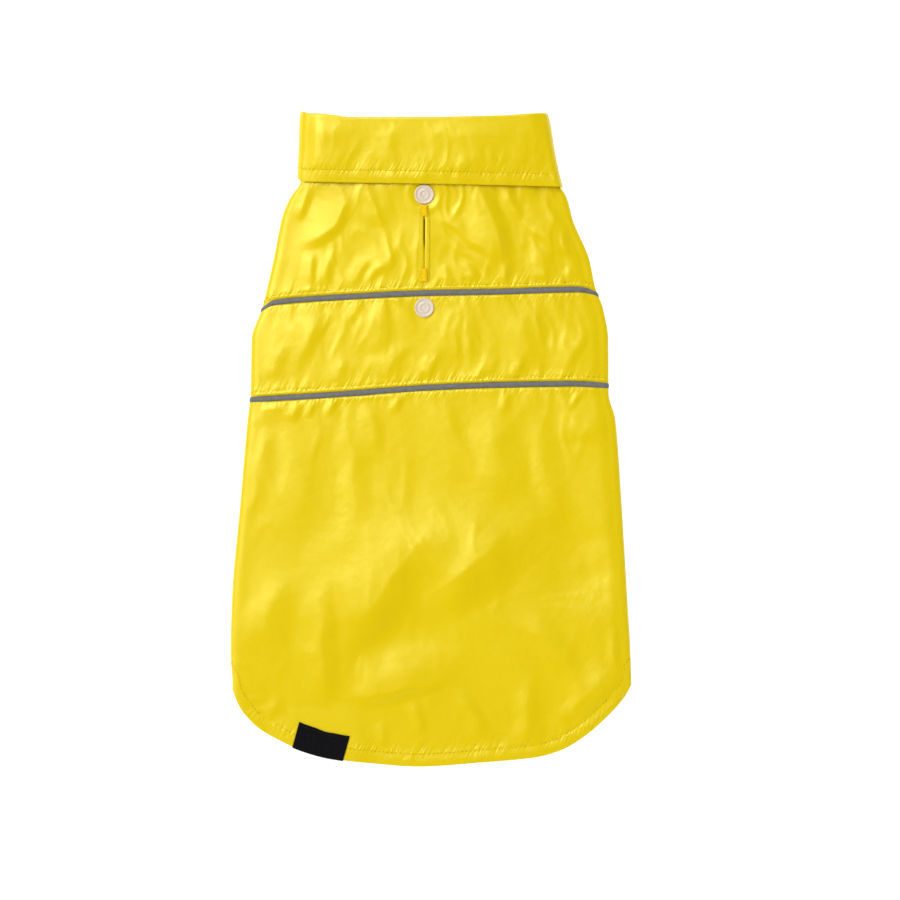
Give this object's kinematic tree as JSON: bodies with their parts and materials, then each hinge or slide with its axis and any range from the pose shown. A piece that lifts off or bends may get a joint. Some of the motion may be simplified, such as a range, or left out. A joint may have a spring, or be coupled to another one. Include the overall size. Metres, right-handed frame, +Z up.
{
  "type": "dog raincoat",
  "caption": "Dog raincoat laid flat with its back up: turned-down collar, three back panels with reflective piping, leash slot, snaps, and a belly panel with leg holes.",
  "frame": {"origin": "middle of the coat's outline, on the surface that it lies on", "axes": "+Y along the back towards the collar, +X to the wearer's right, +Z up out of the back, away from the surface"},
  "size_m": [0.2396, 0.392, 0.0101],
  "materials": {
    "shell_fabric": "coated plain-weave polyester with a satin sheen",
    "reflective_piping": "grey reflective tape over a thin cord",
    "snap_plastic": "slightly translucent off-white resin",
    "label_weave": "matt black woven band"
  },
  "bodies": {
    "root": {"collar": "shell_fabric", "neck_panel": "shell_fabric", "middle_panel": "shell_fabric", "back_panel": "shell_fabric", "belly_panel": "shell_fabric", "leash_slot_welt": "shell_fabric", "upper_piping": "reflective_piping", "lower_piping": "reflective_piping", "upper_snap": "snap_plastic", "lower_snap": "snap_plastic", "hem_label": "label_weave"}
  },
  "joints": []
}
